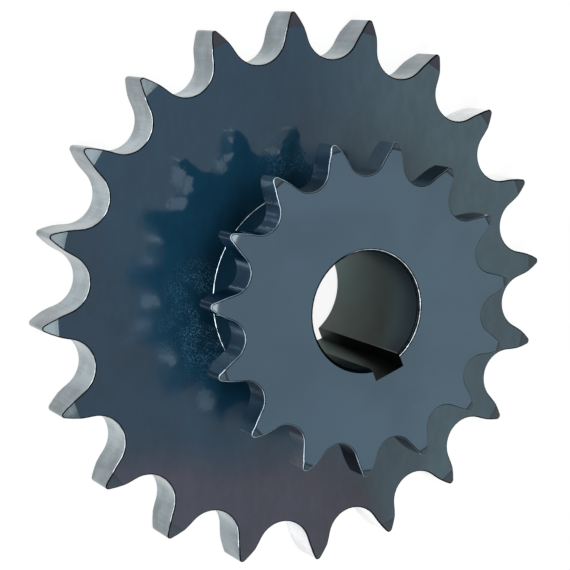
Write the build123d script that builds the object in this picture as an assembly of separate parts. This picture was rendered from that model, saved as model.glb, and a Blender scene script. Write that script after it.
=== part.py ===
from build123d import *
import os
from math import cos, radians, sin, sqrt, tan

# Double chain sprocket, made from one forging: a large and a small toothed row on one short hub, with a
# plain bore and a keyway right through. All sizes are in millimetres.
# Frame: the shaft axis is +Z, the origin is the middle of the back face of the large row, on which the
# part lies, and the keyway opens towards +Y.

# Large row, for a roller chain of 1 inch pitch
large_teeth = 20
large_pitch = 25.4
large_roller = 15.88            # roller diameter of the chain
large_seat_clearance = 0.95     # play left all round the roller in its seat
large_seat_angle = 135.5        # sweep of the arc that the roller seats in
large_flank_radius = 28.5       # convex arc from the seat to the tip
large_nose_radius = 1.1         # rounding over the tip of the tooth
large_width = 14.3
large_relief_start = 0.7        # each side falls away to the tip from this far beyond the pitch circle
large_relief_slope = 15.5       # in degrees from the side face
large_index = -1.0              # angle from the keyway to the nearest tooth, in degrees

# Small row, for a roller chain of 3/4 inch pitch
small_teeth = 15
small_pitch = 19.05
small_roller = 12.07
small_seat_clearance = 0.05
small_seat_angle = 120.0
small_flank_radius = 42.0
small_nose_radius = 1.2
small_width = 9.8
small_relief_length = 2.4       # the last stretch below the tip, shorter and steeper than on the large row
small_relief_slope = 17.0
small_index = 2.5

# Hub, bore and keyway
row_gap = 27.4                  # clear length of hub between the two rows
hub_diameter = 64.5
hub_corner = 0.5                # small cone left by the tool where the hub meets each row
bore_diameter = 35.0
bore_lead_in = 0.4              # steep inner cone of each mouth, across
bore_lead_in_depth = 0.9
bore_lip = 0.6                  # flatter outer cone of each mouth, across
bore_lip_depth = 0.35
keyway_width = 10.0
keyway_depth = 3.3              # from the crown of the bore

large_edge_break = 0.4          # small chamfer along the edges of the large row
small_edge_break = 0.35         # small chamfer along the edges of the small row
cut_margin = 1.0                # how far a cutting shape runs past what it cuts


def pitch_radius(teeth, pitch):
    """Radius of the circle on which the rollers of a chain lie round a toothed row."""
    return pitch / 2 / sin(radians(180 / teeth))


def tooth_outline(teeth, pitch, roller, clearance, seat_angle, flank_radius, nose_radius):
    """The closed outline of a toothed row, with a tooth space centred on +X, and its tip radius."""
    half_step = 180 / teeth
    seat_radius = roller / 2 + clearance
    seat_centre = Vector(pitch_radius(teeth, pitch), 0)
    lean = Vector(-cos(radians(seat_angle / 2)), sin(radians(seat_angle / 2)))
    seat_bottom = seat_centre - Vector(seat_radius, 0)
    seat_end = seat_centre + lean * seat_radius
    flank_centre = seat_end + lean * flank_radius

    # The nose is centred on the middle of the tooth and touches the flank arc from inside.
    tooth_axis = Vector(1, 0).rotate(Axis.Z, half_step)
    along = flank_centre.dot(tooth_axis)
    aside = (flank_centre - tooth_axis * along).length
    nose_centre = tooth_axis * (along + sqrt((flank_radius - nose_radius) ** 2 - aside ** 2))
    flank_end = flank_centre + (nose_centre - flank_centre).normalized() * flank_radius
    tip = nose_centre + tooth_axis * nose_radius

    middle = ((seat_end + flank_end) / 2 - flank_centre).normalized()
    flank = ThreePointArc(seat_end, flank_centre + middle * flank_radius, flank_end)
    seat_start = Vector(seat_end.X, -seat_end.Y)
    seat = ThreePointArc(seat_start, seat_bottom, seat_end)
    nose_stop = Vector(flank_end.X, -flank_end.Y).rotate(Axis.Z, 2 * half_step)
    nose = ThreePointArc(flank_end, tip, nose_stop)
    one_space = Curve() + [mirror(flank, about=Plane.XZ), seat, flank, nose]
    spaces = [Rot(0, 0, 2 * half_step * i) * one_space for i in range(teeth)]
    return make_face([edge for space in spaces for edge in space.edges()]), tip.length


def turned_blank(tip_radius, width, relief_start, relief_slope):
    """The row before its teeth are cut: a disc whose two sides fall away from where the relief starts."""
    rim = tip_radius + cut_margin
    drop = (rim - relief_start) * tan(radians(relief_slope))
    side = [(0, 0), (relief_start, 0), (rim, drop)]
    other_side = [(x, width - z) for x, z in reversed(side)]
    profile = make_face(Polyline(*side, *other_side, close=True).edges())
    return revolve(Plane.XZ * profile, Axis.Z)


def toothed_row(outline, blank, width, index, teeth, edge_break):
    """A blank cut to its tooth outline, its edges broken, turned so that a tooth is at index from +Y."""
    row = extrude(outline, width) & blank
    sides = row.faces().filter_by(lambda f: abs(f.normal_at().Z) < 1e-3)
    edges = [e for e in sides.edges() if abs(e.tangent_at(0.5).Z) < 0.9]
    row = chamfer(ShapeList(edges), edge_break)
    return Rot(0, 0, 90 + index - 180 / teeth) * row


def bore_cutter(length):
    """A plain bore with a steep lead-in and a flatter lip at each mouth."""
    r = bore_diameter / 2
    mouth = r + bore_lead_in + bore_lip
    low = [(0, -cut_margin), (mouth, -cut_margin), (mouth, 0), (r + bore_lead_in, bore_lip_depth),
           (r, bore_lip_depth + bore_lead_in_depth)]
    high = [(x, length - z) for x, z in reversed(low)]
    profile = make_face(Polyline(*low, *high, close=True).edges())
    return revolve(Plane.XZ * profile, Axis.Z)


def keyway_cutter(length):
    """A square slot from the bore, open at both ends."""
    depth = bore_diameter / 2 + keyway_depth
    slot = Box(keyway_width, depth, length + 2 * cut_margin, align=(Align.CENTER, Align.MIN, Align.MIN))
    return Pos(0, 0, -cut_margin) * slot


def double_sprocket():
    large_outline, large_tip = tooth_outline(large_teeth, large_pitch, large_roller, large_seat_clearance,
                                             large_seat_angle, large_flank_radius, large_nose_radius)
    small_outline, small_tip = tooth_outline(small_teeth, small_pitch, small_roller, small_seat_clearance,
                                             small_seat_angle, small_flank_radius, small_nose_radius)
    large_start = pitch_radius(large_teeth, large_pitch) + large_relief_start
    large_blank = turned_blank(large_tip, large_width, large_start, large_relief_slope)
    small_blank = turned_blank(small_tip, small_width, small_tip - small_relief_length, small_relief_slope)
    small_base = large_width + row_gap
    length = small_base + small_width
    body = toothed_row(large_outline, large_blank, large_width, large_index, large_teeth, large_edge_break)
    body += Pos(0, 0, small_base) * toothed_row(small_outline, small_blank, small_width, small_index,
                                                small_teeth, small_edge_break)
    hub_radius = hub_diameter / 2
    hub = Cylinder(hub_radius, row_gap, align=(Align.CENTER, Align.CENTER, Align.MIN))
    body += Pos(0, 0, large_width) * hub
    corners = [e for e in body.edges().filter_by(GeomType.CIRCLE) if abs(e.radius - hub_radius) < 1e-3]
    body = chamfer(ShapeList(corners), hub_corner)
    body -= bore_cutter(length)
    body -= keyway_cutter(length)
    print("tip radii", round(large_tip, 3), round(small_tip, 3), "length", length)
    return body


os.makedirs("parts", exist_ok=True)
part = double_sprocket()
export_step(part, "parts/double_sprocket.step")
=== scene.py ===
import math
import bpy
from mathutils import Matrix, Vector

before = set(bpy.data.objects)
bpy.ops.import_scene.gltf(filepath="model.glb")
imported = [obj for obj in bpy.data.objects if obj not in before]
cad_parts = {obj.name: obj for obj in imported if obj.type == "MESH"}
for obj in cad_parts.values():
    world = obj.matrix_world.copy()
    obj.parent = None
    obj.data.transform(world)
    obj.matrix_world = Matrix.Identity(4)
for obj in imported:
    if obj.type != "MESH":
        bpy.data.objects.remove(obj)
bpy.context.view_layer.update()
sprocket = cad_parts["double_sprocket"]

# The shaft axis is +Z, the part lies on the floor at height 0 and the keyway opens towards +Y.
MM = 0.001                    # one millimetre, in the frame's metres
LARGE_FACE = 14.3 * MM        # height of the large row's front face
LARGE_MIDDLE = 7.15 * MM      # height of the middle of the large row, and half its width
HUB_TOP = 41.7 * MM           # height at which the hub meets the small row
SMALL_MIDDLE = 46.6 * MM      # height of the middle of the small row
SMALL_HALF_WIDTH = 4.9 * MM
KEYWAY_HALF_WIDTH = 5.0 * MM
PAST_BORE = 24 * MM           # a reach between the keyway's corners and the hub's wall
PAST_HUB = 34 * MM            # a reach between the hub's wall and the deepest tooth seat


# ---- Colours and nodes ----

def tone(hex_colour):
    """An sRGB hex colour as the linear colour that a shader takes."""
    channels = [int(hex_colour[i:i + 2], 16) / 255 for i in (1, 3, 5)]
    return [c / 12.92 if c <= 0.04045 else ((c + 0.055) / 1.055) ** 2.4 for c in channels] + [1.0]


def add(material, kind, inputs=None, **settings):
    """Adds a node. Inputs are given by name or number, as values or as other nodes' outputs."""
    node = material.node_tree.nodes.new("ShaderNode" + kind)
    for name, value in settings.items():
        setattr(node, name, value)
    for name, value in (inputs or {}).items():
        if isinstance(value, bpy.types.NodeSocket):
            material.node_tree.links.new(value, node.inputs[name])
        else:
            node.inputs[name].default_value = value
    return node


def new_material(name):
    """An empty node material."""
    material = bpy.data.materials.new(name)
    material.use_nodes = True
    material.node_tree.nodes.clear()
    return material


def finished(material, shader):
    """The material, with its shader joined to its output."""
    add(material, "OutputMaterial", {0: shader.outputs[0]})
    return material


def object_place(material):
    """A point's place on the sprocket, its X, Y and Z, and its reach out from the axis."""
    place = add(material, "TexCoord").outputs["Object"]
    parts = add(material, "SeparateXYZ", {0: place})
    flat = add(material, "CombineXYZ", {0: parts.outputs["X"], 1: parts.outputs["Y"]})
    reach = add(material, "VectorMath", {0: flat.outputs[0]}, operation="LENGTH").outputs["Value"]
    return place, parts.outputs, reach


def along_line(material, place, direction):
    """How far a point lies along a direction."""
    inputs = {0: place, 1: direction}
    return add(material, "VectorMath", inputs, operation="DOT_PRODUCT").outputs["Value"]


def maths(material, operation, *values):
    """The result of one Math node on values or nodes' outputs."""
    return add(material, "Math", dict(enumerate(values)), operation=operation).outputs[0]


def times(material, first, *others):
    """Two or more values multiplied."""
    for other in others:
        first = maths(material, "MULTIPLY", first, other)
    return first


def ramp(material, value, start, end, low=0.0, high=1.0):
    """A soft step, from low where the value is at the start to high where it is at the end."""
    inputs = {"Value": value, "From Min": start, "From Max": end, "To Min": low, "To Max": high}
    return add(material, "MapRange", inputs, interpolation_type="SMOOTHSTEP").outputs[0]


def blend(material, share, first, second, way="MIX"):
    """Two colours mixed, or one laid over the other in another way."""
    inputs = {0: share, 6: first, 7: second}
    return add(material, "Mix", inputs, data_type="RGBA", blend_type=way).outputs[2]


def shaded(material, colour, shade):
    """A colour made darker or lighter by a shade, where 1 leaves it as it is."""
    return blend(material, 1.0, colour, shade, "MULTIPLY")


def noise(material, place, size, detail=3.0, distortion=0.0):
    """Cloudy noise whose clouds are about the given size across."""
    inputs = {"Vector": place, "Scale": 1 / size, "Detail": detail, "Distortion": distortion}
    return add(material, "TexNoise", inputs).outputs["Fac"]


def spot(material, place, centre, inner, outer):
    """A soft round spot: 1 within the inner radius and 0 beyond the outer one."""
    away = add(material, "VectorMath", {0: place, 1: centre}, operation="DISTANCE").outputs["Value"]
    return ramp(material, away, outer, inner)


def bumps(material, height, depth, strength=1.0):
    """A surface raised and lowered by a pattern, up to the given depth."""
    inputs = {"Height": height, "Distance": depth, "Strength": strength}
    return add(material, "Bump", inputs).outputs[0]


# ---- Black oxide ----

# Painted reflections on the large row's face, as paler smears: X, Y and size in millimetres.
PAINTED_REFLECTION_SMEARS = [(27, -51, 3.2), (28.5, -45, 3.0), (49, -21, 3.2), (50, -2, 3.0), (44, 15.5, 3.2),
              (9.6, -50, 1.8), (6, -56, 1.3), (12.5, -48.5, 2.6), (24, -48, 2.4), (-5, -46, 2.4)]

# Drifts of painted glints on the same face: X, Y, inner and outer radius in millimetres, and
# thickness.
GLINT_DRIFTS = [(37, -4, 5, 18, 1.0), (34, -18, 3, 13, 0.8), (-8, -40, 3, 13, 0.5)]


def brown_patch(material, place, along, start, end, stirred=0.0):
    """The share of brown oxide in a patch near one rim, which ends softly along X."""
    outward = along_line(material, place, (0.44, 0.89, 0.0))
    outward = maths(material, "ADD", outward, stirred)
    return times(material, ramp(material, outward, start, end),
                 ramp(material, along["X"], -2 * MM, 9 * MM))


def painted_glints_in_drifts(material, place):
    """Painted glints: light flecks, in three patchy drifts.

    They are drawn 0.4 mm apart, coarse enough to show.
    """
    drift = 0.0
    for x, y, inner, outer, thickness in GLINT_DRIFTS:
        area = spot(material, place, (x * MM, y * MM, LARGE_FACE), inner * MM, outer * MM)
        drift = maths(material, "MAXIMUM", drift, times(material, area, thickness))
    patches = ramp(material, noise(material, place, 6 * MM), 0.33, 0.55)
    flecks = ramp(material, noise(material, place, 0.4 * MM, 0.0), 0.52, 0.64)
    return times(material, drift, patches, flecks, 0.55)


def painted_reflection_smears(material, place):
    """Small ragged smears of painted reflection."""
    bent = add(material, "TexNoise", {"Vector": place, "Scale": 1 / (7 * MM), "Detail": 3.0})
    bent = add(material, "VectorMath", {0: bent.outputs["Color"], 1: (0.5, 0.5, 0.5)},
               operation="SUBTRACT")
    bent = add(material, "VectorMath", {0: bent.outputs[0], 1: (9 * MM, 9 * MM, 0.0), 2: place},
               operation="MULTIPLY_ADD").outputs[0]
    painted_reflection_share = 0.0
    for x, y, size in PAINTED_REFLECTION_SMEARS:
        centre = (x * MM, y * MM, LARGE_FACE)
        smear = spot(material, bent, centre, 0.3 * size * MM, 1.1 * size * MM)
        painted_reflection_share = maths(material, "MAXIMUM", painted_reflection_share, smear)
    return painted_reflection_share


def oiled_black_oxide(name, oxide, painted_reflection_grey, brown_oxide, weathering_and_painted_light=False, smooth=0.07,
                      dullest=0.22, oil_index=1.45):
    """Steel blackened in a hot salt bath and dipped in oil.

    The oxide is a very dark blue that takes the light softly. The oil lies on it as a thin
    smooth film, so that what stands near is mirrored faintly in it.
    """
    material = new_material(name)
    place, along, reach = object_place(material)
    clouds = noise(material, place, 30 * MM, 4.0, 0.4)

    # The oxide is greyer towards one side, a painted reflection, and browner in a patch near the
    # rim.
    grey = ramp(material, along_line(material, place, (-1.0, 0.5, 0.0)), -22 * MM, 60 * MM)
    colour = blend(material, grey, tone(oxide), tone(painted_reflection_grey))
    stirred = times(material, maths(material, "SUBTRACT", clouds, 0.5), 24 * MM)
    brown = brown_patch(material, place, along, 42 * MM, 61 * MM, stirred)
    colour = blend(material, brown, colour, tone(brown_oxide))
    shade = ramp(material, clouds, 0.35, 0.65, 0.92, 1.10)
    if weathering_and_painted_light:
        # Rolling marks in the plate take the oxide a little unevenly, as faint short streaks.
        rolled = add(material, "Mapping", {"Vector": place, "Scale": (1.0, 2.5, 1.0),
                                           "Rotation": (0.0, 0.0, math.radians(-26))},
                     vector_type="TEXTURE").outputs[0]
        streaks = ramp(material, noise(material, rolled, 2.2 * MM, 4.0), 0.3, 0.7, 0.93, 1.08)
        # One wide spot near the keyway's side is darker, and the far rim a deeper blue.
        darker = spot(material, place, (-4 * MM, 64 * MM, LARGE_FACE), 6 * MM, 26 * MM)
        shade = times(material, shade, streaks,
                      maths(material, "MULTIPLY_ADD", darker, -0.22, 1.0))
        rim = blend(material, brown, tone("#132F42"), tone(brown_oxide))
        colour = blend(material, ramp(material, along["X"], 50 * MM, 60 * MM), colour, rim)
    colour = shaded(material, colour, shade)

    # The oil film is smooth near the hub and thinner and duller out towards one side.
    dull = ramp(material, along["X"], 26 * MM, 52 * MM, smooth, dullest)
    mirror_tint = tone("#FFFFFF")
    # Besides weathering, this adds painted shade, painted glints and painted reflections.
    if weathering_and_painted_light:
        # Under the small row the oxide is painted darker as shade, and little oil lies on it.
        painted_shade_under_small_row = ramp(material, reach, 34 * MM, 44 * MM, 0.62, 1.0)
        colour = shaded(material, colour, painted_shade_under_small_row)
        mirror_tint = ramp(material, reach, 41 * MM, 48 * MM, 0.3, 1.0)
        # Painted glints: light blue flecks in drifts.
        colour = blend(material, painted_glints_in_drifts(material, place), colour, tone("#4F7F99"))
        # The smears are painted reflections: paler, and made dull so that they mirror nothing.
        painted_reflection_share = times(material, painted_reflection_smears(material, place), 0.5)
        colour = blend(material, painted_reflection_share, colour, tone("#485F70"))
        dull = maths(material, "MAXIMUM", dull, painted_reflection_share)

    # Ground plate is never quite flat: waves about 8 mm apart bend what it mirrors.
    waves = bumps(material, noise(material, place, 8 * MM, 2.0), 0.11 * MM)
    return finished(material, add(material, "BsdfPrincipled", {
        "Base Color": colour, "Roughness": dull, "IOR": oil_index,
        "Specular Tint": mirror_tint, "Normal": waves}))


def oiled_relief(name, black, oil_index, mirror_tint, start, end, thin_share, browned_too=False):
    """The turned slopes of the tooth tips: near-black, under a thicker and glossier oil.

    The oil ran off towards the tip, so a slope mirrors less at its start. On one side of the
    large row it has gone brown and mirrors less too. The slopes beside the plate's brown patch
    are brown as well.
    """
    material = new_material(name)
    place, along, reach = object_place(material)
    colour, tint = tone(black), tone(mirror_tint)
    if browned_too:
        brown_oil = ramp(material, along_line(material, place, (-0.5, -0.87, 0.0)),
                         58 * MM, 72 * MM)
        brown = maths(material, "MAXIMUM", brown_oil,
                      brown_patch(material, place, along, 52 * MM, 62 * MM))
        colour = blend(material, brown, colour, tone("#373A42"))
        tint = blend(material, brown_oil, tint, tone("#A0A3A6"))
    tint = shaded(material, tint, ramp(material, reach, start, end, thin_share, 1.0))
    waves = bumps(material, noise(material, place, 6 * MM), 0.03 * MM)
    return finished(material, add(material, "BsdfPrincipled", {
        "Base Color": colour, "Roughness": 0.12, "IOR": oil_index,
        "Specular Tint": tint, "Normal": waves}))


# ---- Cut and bored steel ----

def cut_steel(name, steel, painted_light_steel, seat_reach, tip_reach):
    """Bare steel as the tooth cutter left it: light grey, and brighter in the seats."""
    material = new_material(name)
    place, _, reach = object_place(material)
    # The cutter ran along the shaft, so its marks are long that way and 1 mm apart across it.
    stretched = add(material, "Mapping", {"Vector": place, "Scale": (1.0, 1.0, 0.05)}).outputs[0]
    marks = noise(material, stretched, 1.0 * MM)
    clouds = noise(material, place, 9 * MM, 5.0)
    pattern = maths(material, "MULTIPLY_ADD", marks, 0.3, clouds)
    shade = ramp(material, pattern, 0.47, 0.83, 0.78, 1.16)
    # Brighter towards the seats and darker towards the tips.
    brighter_towards_seats = ramp(material, reach, seat_reach, tip_reach, 1.40, 0.88)
    colour = shaded(material, tone(steel), times(material, shade, brighter_towards_seats))
    # Painted light: the teeth on one side are the brightest, near white.
    painted_light_side = ramp(material, along_line(material, place, (-0.67, 0.74, 0.0)), 16 * MM, 38 * MM)
    painted_light_colour = shaded(material, tone(painted_light_steel), ramp(material, pattern, 0.47, 0.83, 0.80, 1.0))
    colour = blend(material, painted_light_side, colour, painted_light_colour)
    return finished(material, add(material, "BsdfPrincipled", {
        "Base Color": colour, "Metallic": 1.0, "Roughness": 0.24,
        "Normal": bumps(material, marks, 0.006 * MM, 0.6)}))


def blued_cut_steel(name, light, deep, deeper):
    """The small row's teeth: cut steel that the bath has blued.

    It is smooth enough to mirror the plate below. The side away from the side lamp is painted
    a deep blue as shade, and two teeth came out almost bare.
    """
    material = new_material(name)
    place, along, reach = object_place(material)
    seats_end = ramp(material, reach, 40.5 * MM, 43.5 * MM)
    colour = blend(material, seats_end, tone(light), tone("#879FAE"))
    tips = ramp(material, reach, 46 * MM, 49 * MM)
    colour = blend(material, tips, colour, tone("#CEDCE3"))
    bluer = ramp(material, along_line(material, place, (0.89, -0.46, 0.0)), 35 * MM, 43 * MM)
    colour = blend(material, bluer, colour, tone("#859CAA"))
    bare = maths(material, "MAXIMUM",
                 spot(material, place, (-23 * MM, -38 * MM, SMALL_MIDDLE), 7 * MM, 13 * MM),
                 spot(material, place, (36 * MM, 28 * MM, SMALL_MIDDLE), 7 * MM, 12 * MM))
    colour = blend(material, bare, colour, tone("#ECF0EF"))
    # Painted shade: the teeth on the side away from the side lamp are deep blue.
    low = ramp(material, along_line(material, place, (0.75, -0.66, 0.0)), -3 * MM, -12 * MM)
    shaded_side_colour = ramp(material, along["X"], 12 * MM, -30 * MM)
    shaded_side_colour = blend(material, shaded_side_colour, tone(deep), tone(deeper))
    shaded_side_colour = shaded(material, shaded_side_colour, ramp(material, reach, 44 * MM, 48 * MM, 0.6, 1.5))
    colour = blend(material, low, colour, shaded_side_colour)
    # Painted shade: the seats are darker at the bottom, but for the few on the side towards the
    # side lamp.
    lit_side_seats = ramp(material, along_line(material, place, (0.77, -0.64, 0.0)), 29 * MM, 35 * MM)
    seats = ramp(material, reach, 40.4 * MM, 42.2 * MM, 0.42, 1.0)
    colour = shaded(material, colour, maths(material, "MAXIMUM", seats, lit_side_seats))
    shade = ramp(material, noise(material, place, 9 * MM, 4.0), 0.3, 0.7, 0.85, 1.15)
    return finished(material, add(material, "BsdfPrincipled", {
        "Base Color": shaded(material, colour, shade), "Metallic": 1.0, "Roughness": 0.07}))


def bored_steel(name, steel, warm, darkening, start, end, start_shade, end_shade,
                mouth=(0.36, 0.52, 0.68, 1.0), burr=0.0):
    """A bored and blackened wall: dull green-grey, and browner on one side.

    It is darkened along a slanting direction, and again, and bluer, towards the mouth: painted
    shade. The broach left a thin bright burr along the edges of the keyway.
    """
    material = new_material(name)
    place, along, _ = object_place(material)
    brown = times(material, ramp(material, along["Y"], -8 * MM, 16 * MM),
                  noise(material, place, 14 * MM))
    colour = blend(material, brown, tone(steel), tone(warm))
    # Painted shade: darker along a slanting direction into the bore.
    slant = along_line(material, place, darkening)
    colour = shaded(material, colour, ramp(material, slant, start, end, start_shade, end_shade))
    # Painted shade: darker and bluer towards the mouth.
    near_mouth = ramp(material, along["Z"], 28 * MM, 48 * MM)
    colour = blend(material, near_mouth, colour, mouth, "MULTIPLY")
    if burr:
        aside = maths(material, "ABSOLUTE", along["X"])
        edge = times(material, burr, ramp(material, along["Y"], 10 * MM, 12 * MM),
                     ramp(material, aside, KEYWAY_HALF_WIDTH + 0.25 * MM,
                          KEYWAY_HALF_WIDTH + 0.15 * MM))
        colour = blend(material, edge, colour, tone("#A59C92"))
    # The boring bar's feed leaves rings, 0.5 mm apart.
    rings = add(material, "TexWave", {"Vector": place, "Scale": math.pi / 10 / (0.5 * MM),
                                      "Distortion": 0.3}, bands_direction="Z")
    return finished(material, add(material, "BsdfPrincipled", {
        "Base Color": colour, "Roughness": 0.42, "Specular IOR Level": 0.04,
        "Normal": bumps(material, rings.outputs["Fac"], 0.004 * MM, 0.4)}))


# ---- Worn edges ----

def partly_bare(material, bare, black, steel, roughness):
    """Black oxide without oil, and clean steel where the share is 1, which draws the painted
    highlights.
    """
    matt = add(material, "BsdfDiffuse", {"Color": tone(black)})
    metal = add(material, "BsdfPrincipled", {"Base Color": tone(steel), "Metallic": 1.0,
                                             "Roughness": roughness})
    return finished(material, add(material, "MixShader", {0: bare, 1: matt.outputs[0],
                                                          2: metal.outputs[0]}))


def edge_with_painted_highlight(name, mid_height, half_width, relief_reach, relief_slope, split, black, steel,
               roughness, least, seat_share):
    """A filed edge: bare steel along the tooth flank, and still blackened along the face.

    The bare line is a painted highlight: it fades round the row to nearly black on the side away
    from the side lamp. It is also weaker in the seats, and along the back of the row.
    reached less into the seats, and less along the back of the row.
    """
    material = new_material(name)
    place, along, reach = object_place(material)
    past = maths(material, "MAXIMUM", maths(material, "SUBTRACT", reach, relief_reach), 0.0)
    height = maths(material, "ABSOLUTE", maths(material, "SUBTRACT", along["Z"], mid_height))
    slope = math.tan(math.radians(relief_slope))
    height = maths(material, "MULTIPLY_ADD", past, slope, height)
    wander = 0.25 * MM
    height = maths(material, "MULTIPLY_ADD", noise(material, place, 2 * MM), wander, height)
    border = half_width - split + wander / 2
    flank_side = ramp(material, height, border + 0.06 * MM, border - 0.06 * MM)
    # Painted highlight: the bare line is strongest on the side towards the side lamp.
    painted_highlight_side = along_line(material, place, (0.93, -0.37, 0.0))
    painted_highlight_side = ramp(material, painted_highlight_side, -0.35 * relief_reach, 0.35 * relief_reach, least, 1.0)
    out_of_seat = ramp(material, reach, relief_reach - 7 * MM, relief_reach + MM, seat_share, 1.0)
    in_front = ramp(material, along["Z"], mid_height - MM, mid_height + MM, 0.3, 1.0)
    bare = times(material, flank_side, painted_highlight_side, out_of_seat, in_front)
    return partly_bare(material, bare, black, steel, roughness)


def ring_with_painted_highlight(name, measured, middle, half_width, share, black, steel, one_sided=False):
    """A narrow turned cone, blackened, with a broken line of bare steel along it: a painted
    highlight.

    The line lies at one reach from the axis or at one height. A one-sided line runs only on one
    side of the bore.
    """
    material = new_material(name)
    place, along, reach = object_place(material)
    measure = reach if measured == "reach" else along["Z"]
    off = maths(material, "ABSOLUTE", maths(material, "SUBTRACT", measure, middle))
    off = maths(material, "MULTIPLY_ADD", noise(material, place, 2 * MM, 4.0), 0.2 * MM, off)
    line = ramp(material, off, half_width + 0.13 * MM, half_width + 0.08 * MM)
    # Painted highlight: a thin broken line of bare steel.
    bare = times(material, line, share)
    # The painted highlight is kept to one side of the bore.
    if one_sided:
        bare = times(material, bare, ramp(material, along["X"], 2 * MM, -6 * MM))
    return partly_bare(material, bare, black, steel, 0.25)


# ---- Which facet has which finish ----

FINISHES = {
    # Large row's faces, and the small row's back: dark blue oxide with streaks, painted glints and
    # smears of painted reflection, in which the small row is mirrored.
    "plate": oiled_black_oxide("oiled_black_oxide", "#13364B", "#415862", "#393B4A",
                               weathering_and_painted_light=True),
    # Small row's front face: paler and even, a lighter copy of the oxide as painted light, under a
    # clear film of oil.
    "front": oiled_black_oxide("oiled_black_oxide_painted_lit_face", "#3C5566", "#435B6A", "#3F5164"),
    # Slopes of the tooth tips: black, with a clear gleam on those that face the lamp overhead.
    "relief": oiled_relief("oiled_relief_large_row", "#232F38", 1.54, "#D6EAF2",
                           82.2 * MM, 83.6 * MM, 0.8, browned_too=True),
    "small_relief": oiled_relief("oiled_relief_small_row", "#27343E", 1.60, "#D0E6F0",
                                 47.95 * MM, 48.55 * MM, 0.25),
    # Tooth flanks: clean light steel on the large row, and a dark blue mirror on the small one.
    "large_teeth": cut_steel("cut_steel_large_teeth", "#8A959A", "#F8FAFB", 69 * MM, 80 * MM),
    "small_teeth": blued_cut_steel("blued_cut_steel_small_teeth", "#BCCED8", "#1A374A", "#0F222E"),
    # Edges: a thin bright line beside a thin black one; the bright line is a painted highlight.
    "large_edges": edge_with_painted_highlight("edge_painted_highlight_large_row", LARGE_MIDDLE, LARGE_MIDDLE, 81.9 * MM, 15.5,
                              0.31 * MM, "#040608", "#8C9498", roughness=0.18, least=0.1,
                              seat_share=1.0),
    "small_edges": edge_with_painted_highlight("edge_painted_highlight_small_row", SMALL_MIDDLE, SMALL_HALF_WIDTH, 47.6 * MM,
                              17.0, 0.19 * MM, "#16222B", "#94A5B0", roughness=0.3, least=0.3,
                              seat_share=0.45),
    # Hub: dull dark blue, a darker copy of the oxide as painted shade between the rows, with one
    # thin bright line round its foot, a painted highlight.
    "hub_foot": ring_with_painted_highlight("foot_of_hub_painted_highlight", "height", 14.55 * MM, 0.042 * MM, 1.0,
                             "#10202B", "#AFC3CF"),
    "hub": oiled_black_oxide("oiled_black_oxide_turned_hub", "#0D2A3C", "#123040", "#16242F",
                             smooth=0.35, dullest=0.40, oil_index=1.25),
    # Bore: dull green-grey that sinks into painted shade, almost black below the keyway, painted
    # shade too.
    "bore": bored_steel("bored_steel", "#6D8785", "#685D56", (0.0, -0.8, 1.0), -2 * MM, 56 * MM,
                        1.55, 0.12, burr=0.6),
    "bore_below": bored_steel("bored_steel_below_keyway", "#122C32", "#12262C", (0.0, 0.0, 1.0),
                              0.0, 50 * MM, 1.0, 0.6),
    # Mouths of the bore: black rings with a bright line on one side, a painted highlight.
    "lip": ring_with_painted_highlight("bore_lip_painted_highlight", "reach", 18.15 * MM, 0.065 * MM, 0.9,
                        "#030A10", "#DEEAF2", one_sided=True),
    "lead_in": ring_with_painted_highlight("bore_lead_in_painted_highlight", "reach", 17.72 * MM, 0.08 * MM, 0.35,
                            "#071014", "#B8C4CA", one_sided=True),
    # Keyway: walls darkened by painted shade except near the back, and a floor darkened by painted
    # shade except along one side.
    "keyway": bored_steel("broached_steel_keyway", "#5E7070", "#4C5C5C", (0.0, 0.0, 1.0),
                          1 * MM, 16 * MM, 1.0, 0.03),
    "keyway_floor": bored_steel("broached_steel_keyway_floor", "#6E837E", "#5A625C",
                                (-1.0, 0.0, 0.12), 2 * MM, 7 * MM, 1.9, 0.04,
                                mouth=(0.10, 0.10, 0.10, 1.0)),
}


def finish_of(facet):
    """Which finish a facet has, from where it lies and how steep it is.

    The upward part of its normal is 1 on the faces, 0.96 on the slopes of the tooth tips, 0.86 on
    the bore's lip, 0.6 to 0.73 on broken edges, 0.4 on the bore's lead-in and 0 on the walls.
    """
    up = abs(facet.normal.z)
    x, y, z = facet.center
    reach = math.hypot(x, y)
    level, sloping, upright = up > 0.999, up > 0.8, up < 0.05
    if level:
        return "front" if z > HUB_TOP + MM else "plate"
    if reach < PAST_BORE:
        if not upright:
            return "lip" if sloping else "lead_in"
        if abs(x) < KEYWAY_HALF_WIDTH + 0.1 * MM and y > 17 * MM:
            return "keyway_floor" if abs(facet.normal.y) > 0.9 else "keyway"
        below_keyway = x > KEYWAY_HALF_WIDTH - 0.1 * MM and y > 10 * MM
        return "bore_below" if below_keyway else "bore"
    if reach < PAST_HUB and LARGE_FACE - MM < z < HUB_TOP + 0.1 * MM:
        return "hub" if upright else "hub_foot"
    large = z < LARGE_FACE + MM
    if upright:
        return "large_teeth" if large else "small_teeth"
    if sloping:
        return "relief" if large else "small_relief"
    return "large_edges" if large else "small_edges"


def dress_sprocket():
    """Gives each facet of the sprocket its finish."""
    mesh = sprocket.data
    mesh.materials.clear()
    for material in FINISHES.values():
        mesh.materials.append(material)
    slots = {name: number for number, name in enumerate(FINISHES)}
    for facet in mesh.polygons:
        facet.material_index = slots[finish_of(facet)]


# ---- Floor, light and camera ----

def seen_or_mirrored(material):
    """1 where a thing is seen, mirrored or seen through, and 0 where it only gives light."""
    path = add(material, "LightPath").outputs
    seen = maths(material, "MAXIMUM", path["Is Camera Ray"], path["Is Glossy Ray"])
    return maths(material, "MAXIMUM", seen, path["Is Transmission Ray"])


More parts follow.
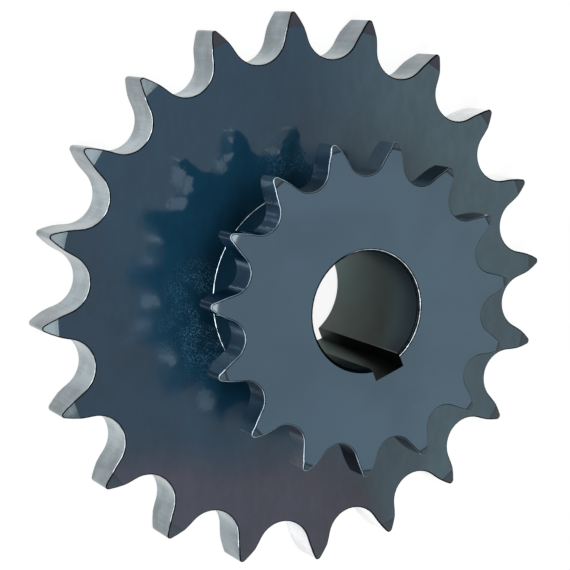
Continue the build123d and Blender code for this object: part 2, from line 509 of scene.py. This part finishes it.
def lay_floor():
    """A white floor that still shows the sprocket's shadow, lightly.

    Three quarters of what is seen of it is glow. The rest is matt and takes the shadow.
    """
    just_below = -0.05 * MM
    bpy.ops.mesh.primitive_plane_add(size=6.0, location=(0, 0, just_below))
    floor = bpy.context.object
    floor.name = "floor"
    material = new_material("white_floor")
    glow_share = times(material, seen_or_mirrored(material), 0.75)
    matt = add(material, "BsdfDiffuse", {"Color": tone("#F2F2F2")})
    glow = add(material, "Emission", {"Color": tone("#FFFFFF"), "Strength": 1.12})
    mixed = add(material, "MixShader", {0: glow_share, 1: matt.outputs[0], 2: glow.outputs[0]})
    floor.data.materials.append(finished(material, mixed))


def hang_lamp(name, place, size, brightness, turn=None):
    """A rectangular softbox that faces the sprocket or, given a turn, straight down."""
    lamp = bpy.data.lights.new(name, "AREA")
    lamp.shape = "RECTANGLE"
    lamp.size, lamp.size_y = size
    lamp.energy = brightness * math.pi * lamp.size * lamp.size_y
    softbox = bpy.data.objects.new(name, lamp)
    bpy.context.scene.collection.objects.link(softbox)
    softbox.location = place
    if turn is None:
        softbox.rotation_euler = (-Vector(place)).to_track_quat("-Z", "Y").to_euler()
    else:
        softbox.rotation_euler = (0.0, 0.0, math.radians(turn))


def light_room():
    """A white room: white where it is seen or mirrored, and a weak fill light elsewhere."""
    world = bpy.data.worlds.new("white_room")
    bpy.context.scene.world = world
    world.use_nodes = True
    world.node_tree.nodes.clear()
    strength = add(world, "MapRange", {"Value": seen_or_mirrored(world),
                                       "To Min": 0.28, "To Max": 1.0}).outputs[0]
    room = add(world, "Background", {"Color": tone("#FFFFFF"), "Strength": strength})
    add(world, "OutputWorld", {0: room.outputs[0]})
    bpy.context.scene.view_settings.view_transform = "Standard"


def set_camera():
    """A long lens that looks down on the sprocket at a slant."""
    lens = bpy.data.cameras.new("camera")
    camera = bpy.data.objects.new("camera", lens)
    bpy.context.scene.collection.objects.link(camera)
    lens.sensor_width = 36.0
    lens.lens = 118.07
    lens.clip_end = 10.0
    camera.location = (0.21174, -0.18398, 0.52037)
    camera.rotation_euler = [math.radians(turn) for turn in (-8.8243, -26.9404, 158.0030)]
    bpy.context.scene.camera = camera


dress_sprocket()
lay_floor()
hang_lamp("overhead_strip", (0.150, -0.100, 1.0), (1.0, 0.18), 9.7, turn=52.9)
hang_lamp("side_bar", (0.93, -0.37, 0.49), (2.0, 0.24), 5.0)
light_room()
set_camera()
